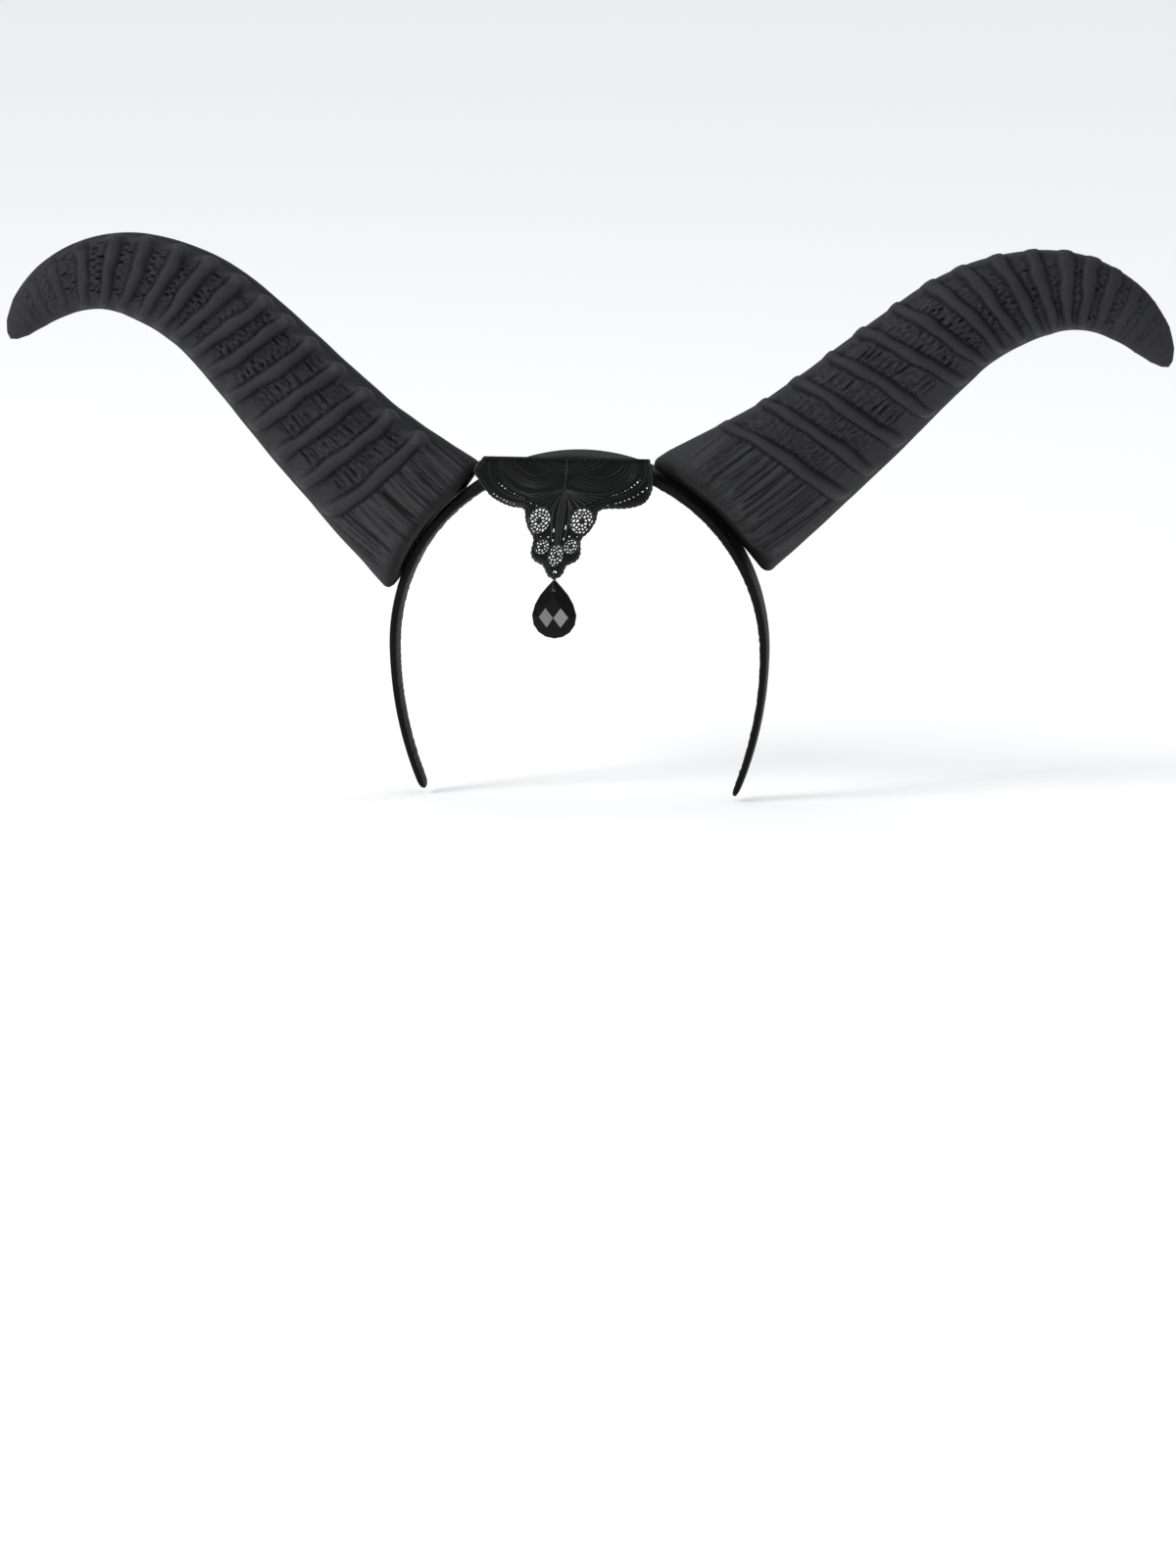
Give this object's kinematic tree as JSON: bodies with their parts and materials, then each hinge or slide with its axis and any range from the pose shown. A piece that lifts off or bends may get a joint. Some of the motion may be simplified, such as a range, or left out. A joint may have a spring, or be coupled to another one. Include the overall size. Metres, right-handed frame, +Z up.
{
  "type": "devil horn headband",
  "caption": "Head band with curved ribbed horns at its sides, a motif of pierced lace at the front, and a faceted drop that hangs from the lace on a thread.",
  "frame": {"origin": "the seat on the head: the middle of the band's inner face at its top", "axes": "+Z up out of the top of the head, -Y the front of the headband, +X to the right of someone who looks at the front"},
  "size_m": [0.4894, 0.0733, 0.2344],
  "materials": {
    "satin": "black satin ribbon with a dull sheen",
    "foam": "charcoal skin of moulded soft foam, matt",
    "lace": "black embroidered lace",
    "acrylic": "polished black acrylic",
    "thread": "black sewing thread"
  },
  "bodies": {
    "headpiece": {"headband": "satin", "horn_left": "foam", "horn_right": "foam", "lace_motif": "lace"},
    "pendant": {"pear_stone": "acrylic", "thread_loop": "thread"}
  },
  "joints": [
    {"name": "pendant_swing", "type": "hinge", "parent": "headpiece", "child": "pendant", "pos_m": [-0.003, -0.05196, -0.03942], "axis": [1, 0, 0], "range_deg": [-80, 60]}
  ]
}
